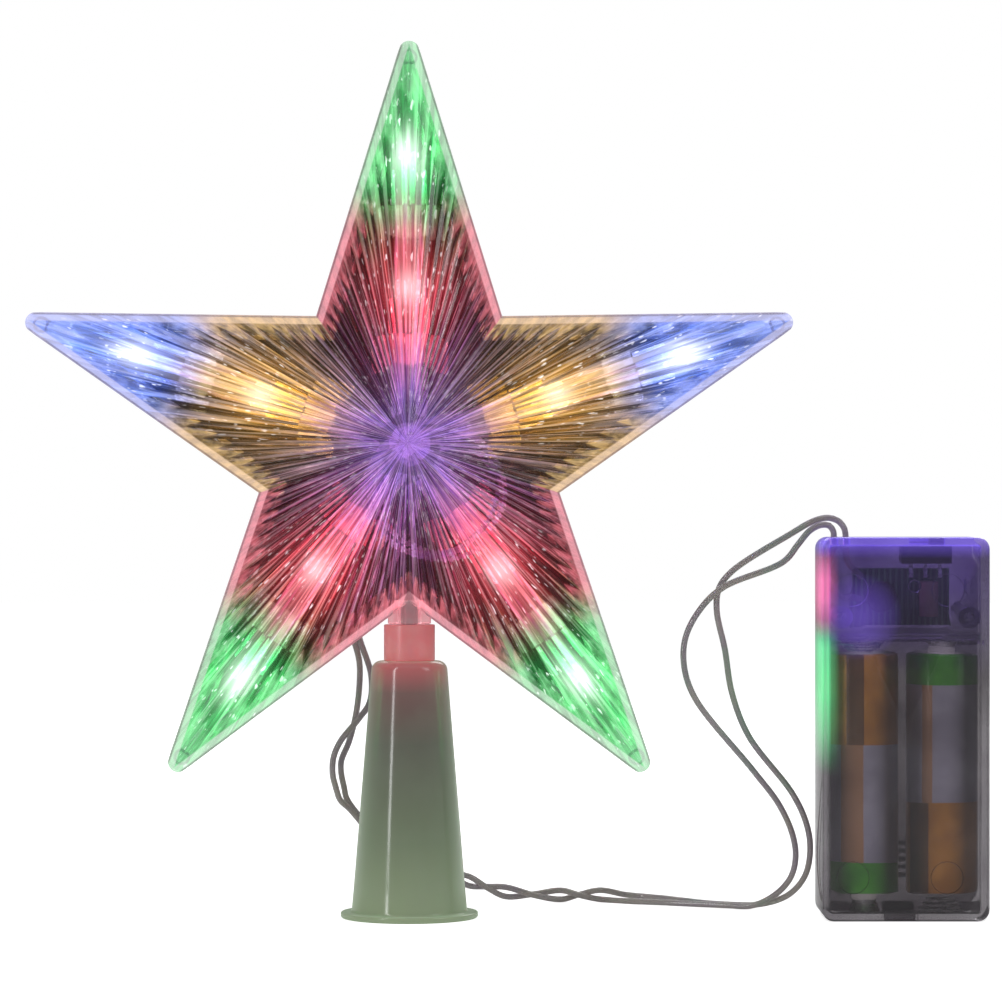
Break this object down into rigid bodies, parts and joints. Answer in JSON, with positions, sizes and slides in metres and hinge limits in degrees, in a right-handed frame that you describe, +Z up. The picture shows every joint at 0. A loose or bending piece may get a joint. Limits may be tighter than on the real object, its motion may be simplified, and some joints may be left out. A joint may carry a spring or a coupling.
{
  "type": "light-up star tree topper",
  "caption": "Clear fluted star with coloured lamps on a socket cone, wired by a twisted two-wire cord to a two-cell battery box with a slide switch.",
  "frame": {"origin": "centre of the socket cone's flange, on the surface it stands on", "axes": "+Z up along the cone's axis, +X right towards the battery box, -Y out of the star's front"},
  "size_m": [0.1986, 0.0521, 0.1815],
  "materials": {
    "clear_plastic": "clear moulded polystyrene, fluted, high gloss",
    "clear_holder": "clear moulded plastic",
    "stem_plastic": "clear peg that reads dark",
    "lamp_green": "lit green lamp, glowing",
    "lamp_blue": "lit blue lamp, glowing",
    "lamp_red": "lit red lamp, glowing",
    "lamp_yellow": "lit warm yellow lamp, glowing",
    "clear_insulation": "clear PVC over stranded copper",
    "frosted_plastic": "frosted translucent plastic",
    "milky_plastic": "milky translucent plastic, glossy",
    "smoky_plastic": "smoky translucent plastic",
    "black_plastic": "matt black",
    "steel_plated": "nickel plated spring steel",
    "board_green": "solder-masked board",
    "component_tan": "lacquered components",
    "cell_wrap": "printed shrink wrap in plain bands"
  },
  "bodies": {
    "base": {"cone_base": "milky_plastic", "cord_run_a": "clear_insulation", "cord_run_b": "clear_insulation", "battery_case": "smoky_plastic", "circuit_cover": "smoky_plastic", "cover_screws": "steel_plated", "switch_body": "black_plastic", "switch_terminals": "steel_plated", "circuit_board": "board_green", "controller_chip": "black_plastic", "board_components": "component_tan", "cord_tails": "clear_insulation", "battery_left": "cell_wrap", "battery_right": "cell_wrap", "bridge_contact": "steel_plated", "negative_contact": "steel_plated", "positive_contact": "steel_plated", "contact_springs": "steel_plated"},
    "neck": {"neck_bush": "frosted_plastic"},
    "star": {"star_front_shell": "clear_plastic", "star_back_shell": "clear_plastic", "mount_stem": "stem_plastic", "lamps_green": "lamp_green", "lamps_blue": "lamp_blue", "lamps_red": "lamp_red", "lamps_yellow": "lamp_yellow", "lamp_holders": "clear_holder", "lamp_leads": "clear_insulation", "centre_knot": "clear_insulation", "spare_lead_coil": "clear_insulation", "exit_leads": "clear_insulation", "clip_posts": "clear_holder", "cord_drop_a": "clear_insulation", "cord_drop_b": "clear_insulation"},
    "door": {"battery_door": "smoky_plastic"},
    "slider": {"switch_slider": "black_plastic"}
  },
  "joints": [
    {"name": "star_swivel", "type": "hinge", "parent": "base", "child": "neck", "pos_m": [0, 0, 0.0532], "axis": [0, 0, 1], "range_deg": [-45, 45]},
    {"name": "star_lift", "type": "slide", "parent": "neck", "child": "star", "axis": [0, 0, 1], "range_m": [0, 0.01]},
    {"name": "switch_slide", "type": "slide", "parent": "base", "child": "slider", "axis": [1, 0, 0], "range_m": [-0.004, 0]},
    {"name": "door_tilt", "type": "hinge", "parent": "base", "child": "door", "pos_m": [0.1021, 0.0087, 0.0568], "axis": [1, 0, 0], "range_deg": [0, 75]}
  ]
}
